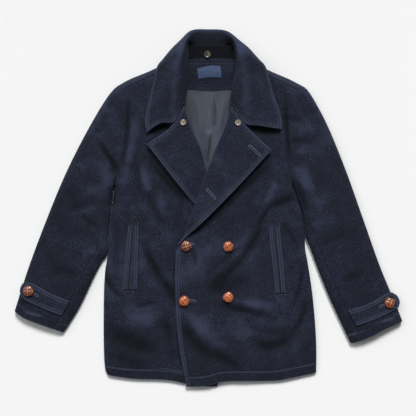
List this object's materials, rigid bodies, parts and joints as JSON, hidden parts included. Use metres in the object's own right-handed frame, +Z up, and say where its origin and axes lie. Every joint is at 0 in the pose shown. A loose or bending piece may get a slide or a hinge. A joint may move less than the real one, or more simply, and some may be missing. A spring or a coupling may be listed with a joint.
{
  "type": "pea coat",
  "caption": "Double-breasted wool coat laid flat on its back, with notched collar, lapels, slanting slit pockets, tabbed cuffs and woven leather buttons.",
  "frame": {"origin": "centre of the laid coat's outline, on the surface it lies on", "axes": "+X towards the wearer's left sleeve, +Y from the hem to the collar, +Z up from the surface it lies on"},
  "size_m": [0.928, 0.8552, 0.0521],
  "materials": {
    "melton": "milled navy wool melton, matt, short brushed nap",
    "lining_satin": "grey-blue satin lining, soft sheen",
    "label_cloth": "plain blue woven cloth, no lettering",
    "button_leather": "woven chestnut leather, waxed",
    "horn": "pale polished horn",
    "dark_horn": "dark polished horn"
  },
  "bodies": {
    "root": {"back": "melton", "front_right": "melton", "front_left": "melton", "lapel_right": "melton", "lapel_left": "melton", "collar": "melton", "collar_stand": "melton", "sleeve_top_right": "melton", "sleeve_under_right": "melton", "sleeve_top_left": "melton", "sleeve_under_left": "melton", "cuff_tab_right": "melton", "cuff_tab_left": "melton", "pocket_right_outer": "melton", "pocket_right_inner": "melton", "pocket_left_outer": "melton", "pocket_left_inner": "melton", "back_neck_facing": "melton", "lining_back": "lining_satin", "label": "label_cloth", "button_front_1": "button_leather", "button_front_2": "button_leather", "button_front_3": "button_leather", "button_front_4": "button_leather", "button_cuff_right": "button_leather", "button_cuff_left": "button_leather", "button_lapel_right": "horn", "button_lapel_left": "horn", "button_neck": "dark_horn"}
  },
  "joints": []
}
